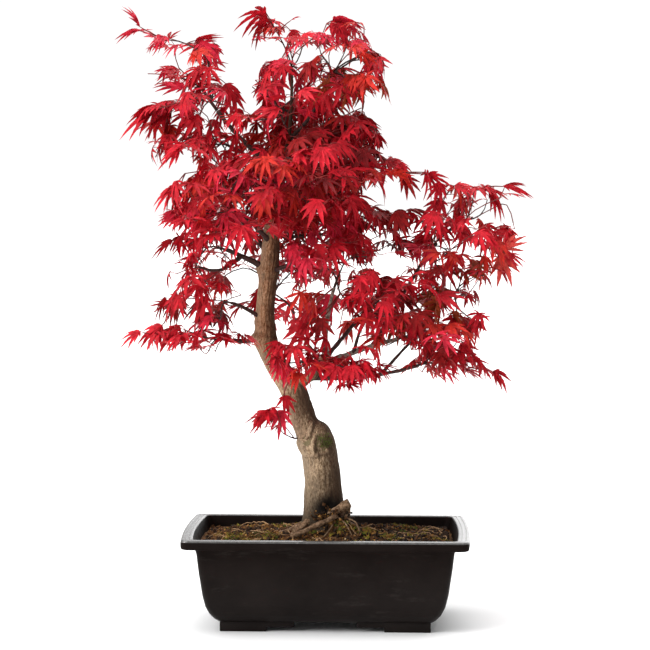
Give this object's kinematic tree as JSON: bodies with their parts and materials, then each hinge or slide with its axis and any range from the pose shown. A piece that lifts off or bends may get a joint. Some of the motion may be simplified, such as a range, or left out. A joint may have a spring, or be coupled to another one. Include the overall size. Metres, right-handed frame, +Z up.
{
  "type": "japanese maple bonsai",
  "caption": "Potted bonsai tree with a slender curved trunk, layered boughs of red hand-shaped leaves in open pads, surface roots, and a shallow rectangular plastic pot of soil",
  "frame": {"origin": "centre of the pot's footprint, on the surface it stands on", "axes": "+Z up, +X to the viewer's right along the pot's long side, -Y towards the viewer"},
  "size_m": [0.4234, 0.298, 0.6199],
  "materials": {
    "pot_plastic": "satin dark brown-black moulded plastic",
    "soil": "rough granular soil",
    "bark": "rough grey-brown bark",
    "young_bark": "dark young bark",
    "foliage": "soft matte red leaves"
  },
  "bodies": {
    "root": {"back_high_leaves": "foliage", "back_low": "young_bark", "back_low_leaves": "foliage", "back_mid": "young_bark", "back_mid_leaves": "foliage", "back_right": "young_bark", "back_right_leaves": "foliage", "centre_right": "young_bark", "centre_right_leaves": "foliage", "dead_stub": "bark", "front_left": "young_bark", "front_left_leaves": "foliage", "front_low": "young_bark", "front_low_leaves": "foliage", "front_right_leaves": "foliage", "leader_leaves": "foliage", "leader_left_leaves": "foliage", "left_arm": "young_bark", "left_arm_leaves": "foliage", "left_low": "young_bark", "left_low_leaves": "foliage", "left_mid": "young_bark", "left_mid_leaves": "foliage", "left_under": "young_bark", "left_under_leaves": "foliage", "left_up": "young_bark", "left_up_leaves": "foliage", "mid_right_leaves": "foliage", "pot": "pot_plastic", "right_dark": "young_bark", "right_dark_leaves": "foliage", "right_high": "young_bark", "right_high_leaves": "foliage", "right_long": "young_bark", "right_long_leaves": "foliage", "right_low": "bark", "right_out": "young_bark", "right_out_leaves": "foliage", "right_reach": "young_bark", "right_reach_leaves": "foliage", "right_rise": "young_bark", "right_rise_leaves": "foliage", "right_spur": "young_bark", "right_spur_leaves": "foliage", "root_front": "bark", "root_left": "bark", "root_right": "bark", "shoulder_leaves": "foliage", "soil": "soil", "sucker_leaves": "foliage", "top_left": "young_bark", "top_left_leaves": "foliage", "top_right": "young_bark", "top_right_leaves": "foliage", "trunk": "bark", "upper_left": "young_bark", "upper_left_leaves": "foliage"}
  },
  "joints": []
}
